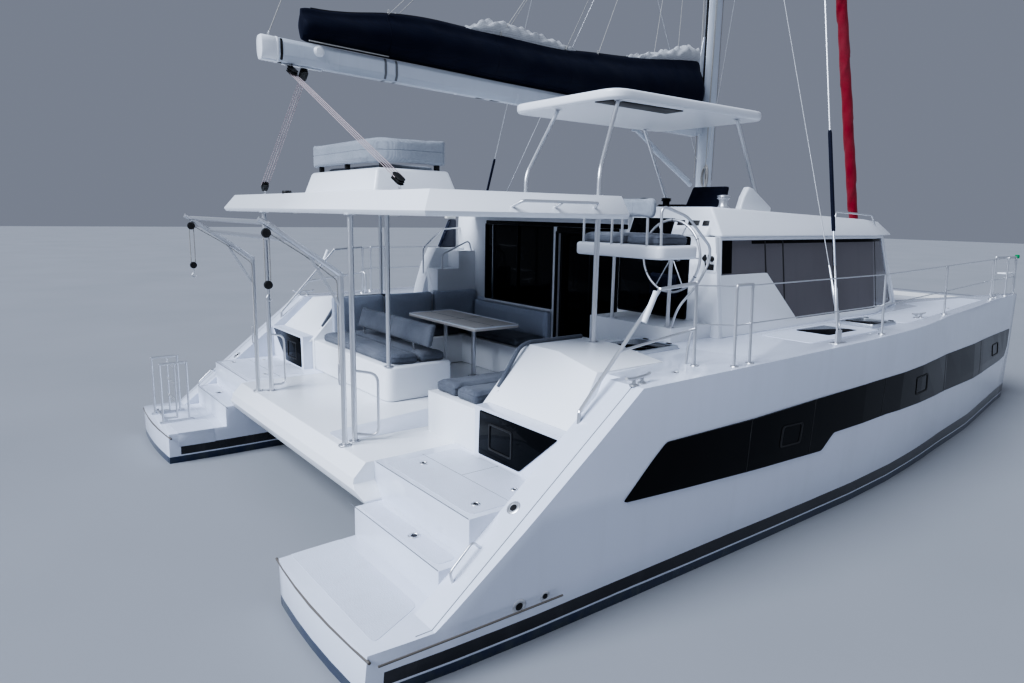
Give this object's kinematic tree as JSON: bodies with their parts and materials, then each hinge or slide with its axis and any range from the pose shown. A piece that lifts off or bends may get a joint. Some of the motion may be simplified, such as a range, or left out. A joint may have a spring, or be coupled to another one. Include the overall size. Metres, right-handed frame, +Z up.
{
  "type": "sailing catamaran",
  "caption": "Cruising sailing catamaran with furled sails, a cockpit under a hard roof, a raised helm and doors, hatches, boom, rudders and propellers that move",
  "frame": {"origin": "on the centreline at the waterline, amidships, which is the mount named waterline", "axes": "+X to the bow, +Y to port, +Z up; +Z is also the longest extent, along the mast, and +Y is the shortest, across the beam"},
  "size_m": [12.66, 7.0594, 21.1],
  "materials": {
    "gelcoat": "glossy white gelcoat",
    "steel": "polished stainless steel",
    "spar": "satin light grey anodised",
    "dark_glass": "near-black tinted glazing",
    "side_glass": "brown grey tinted glazing",
    "navy_cloth": "navy canvas",
    "red_cloth": "crimson canvas",
    "light_cushion": "light grey fabric",
    "dark_cushion": "dark grey fabric",
    "net": "pale webbing net",
    "bottom_paint": "matte navy antifouling",
    "bronze": "dull bronze",
    "table": "pale grey brown laminate"
  },
  "bodies": {
    "boat": {"hull_port": "gelcoat", "hull_starboard": "gelcoat", "keel_port": "bottom_paint", "keel_starboard": "bottom_paint", "saildrive_port": "bronze", "saildrive_starboard": "bronze", "bridgedeck": "gelcoat", "foredeck": "gelcoat", "fore_crossbeam": "spar", "trampoline": "net", "coaming_port": "gelcoat", "coaming_starboard": "gelcoat", "bench_base": "gelcoat", "bench_cushion": "light_cushion", "bench_backrest": "light_cushion", "settee_base": "gelcoat", "settee_cushion": "light_cushion", "settee_backrest": "dark_cushion", "cockpit_table": "table", "lounge_cushion": "light_cushion", "aft_bulkhead": "gelcoat", "aft_window": "dark_glass", "cabin_side_port": "gelcoat", "cabin_side_starboard": "gelcoat", "side_window_port": "side_glass", "side_window_starboard": "side_glass", "cabin_front": "gelcoat", "windscreen_port": "dark_glass", "windscreen_starboard": "dark_glass", "coachroof": "gelcoat", "cockpit_roof": "gelcoat", "roof_lounge": "gelcoat", "roof_lounge_backrest": "light_cushion", "helm_seat": "gelcoat", "helm_cushion": "light_cushion", "helm_top": "gelcoat", "helm_top_frame": "steel", "mast": "spar", "furled_sail": "red_cloth", "cap_shroud_port": "steel", "cap_shroud_starboard": "steel", "guardrail_port": "steel", "guardrail_starboard": "steel", "davits": "steel", "saloon_furniture": "gelcoat", "ladder_hoop_port": "steel", "ladder_hoop_starboard": "steel"},
    "boom_and_bag": {"boom": "spar", "sail_bag": "navy_cloth"},
    "rudder_starboard_body": {"rudder_starboard": "bottom_paint"},
    "rudder_port_body": {"rudder_port": "bottom_paint"},
    "wheel_body": {"helm_wheel": "steel"},
    "propeller_port_body": {"propeller_port": "bronze"},
    "propeller_starboard_body": {"propeller_starboard": "bronze"},
    "saloon_door_body": {"saloon_door": "dark_glass"},
    "forward_door_body": {"forward_door": "dark_glass"},
    "aft_hatch_body": {"aft_hatch_lid": "dark_glass"},
    "side_hatch_port_body": {"side_hatch_lid_port": "dark_glass"},
    "side_hatch_starboard_body": {"side_hatch_lid_starboard": "dark_glass"},
    "ladder_body": {"swim_ladder": "steel"}
  },
  "joints": [
    {"name": "boom_swing", "type": "hinge", "parent": "boat", "child": "boom_and_bag", "pos_m": [0.755, 0, 4.3], "axis": [0, 0, 1], "range_deg": [-50, 50]},
    {"name": "rudder_starboard_turn", "type": "hinge", "parent": "boat", "child": "rudder_starboard_body", "pos_m": [-5.6, -2.6, -0.7], "axis": [0, 0, 1], "range_deg": [-35, 35]},
    {"name": "rudder_port_turn", "type": "hinge", "parent": "boat", "child": "rudder_port_body", "pos_m": [-5.6, 2.6, -0.7], "axis": [0, 0, 1], "range_deg": [-35, 35]},
    {"name": "wheel_turn", "type": "hinge", "parent": "boat", "child": "wheel_body", "pos_m": [-1.99, -1.96, 2.61], "axis": [1, 0, 0], "range_deg": [-350, 350]},
    {"name": "propeller_port_spin", "type": "hinge", "parent": "boat", "child": "propeller_port_body", "pos_m": [-4.865, 2.6, -0.86], "axis": [1, 0, 0], "continuous": true},
    {"name": "propeller_starboard_spin", "type": "hinge", "parent": "boat", "child": "propeller_starboard_body", "pos_m": [-4.865, -2.6, -0.86], "axis": [1, 0, 0], "continuous": true},
    {"name": "saloon_door_slide", "type": "slide", "parent": "boat", "child": "saloon_door_body", "axis": [0, 1, 0], "range_m": [0, 1.05]},
    {"name": "forward_door_swing", "type": "hinge", "parent": "boat", "child": "forward_door_body", "pos_m": [2.671, 0.344, 2], "axis": [-0.5269, 0, 0.8499], "range_deg": [0, 100]},
    {"name": "aft_hatch_lift", "type": "hinge", "parent": "boat", "child": "aft_hatch_body", "pos_m": [-2.605, -2.375, 1.79], "axis": [0, 1, 0], "range_deg": [0, 85]},
    {"name": "side_hatch_port_lift", "type": "hinge", "parent": "boat", "child": "side_hatch_port_body", "pos_m": [0.795, 2.925, 1.83], "axis": [0, 1, 0], "range_deg": [0, 85]},
    {"name": "side_hatch_starboard_lift", "type": "hinge", "parent": "boat", "child": "side_hatch_starboard_body", "pos_m": [0.795, -2.925, 1.83], "axis": [0, 1, 0], "range_deg": [0, 85]},
    {"name": "ladder_swing", "type": "hinge", "parent": "boat", "child": "ladder_body", "pos_m": [-6.216, 2.645, 0.418], "axis": [0, -1, 0], "range_deg": [0, 180]}
  ],
  "couplings": [
    {"joint": "rudder_port_turn", "follows": "rudder_starboard_turn", "ratio": 1},
    {"joint": "wheel_turn", "follows": "rudder_starboard_turn", "ratio": 10}
  ]
}
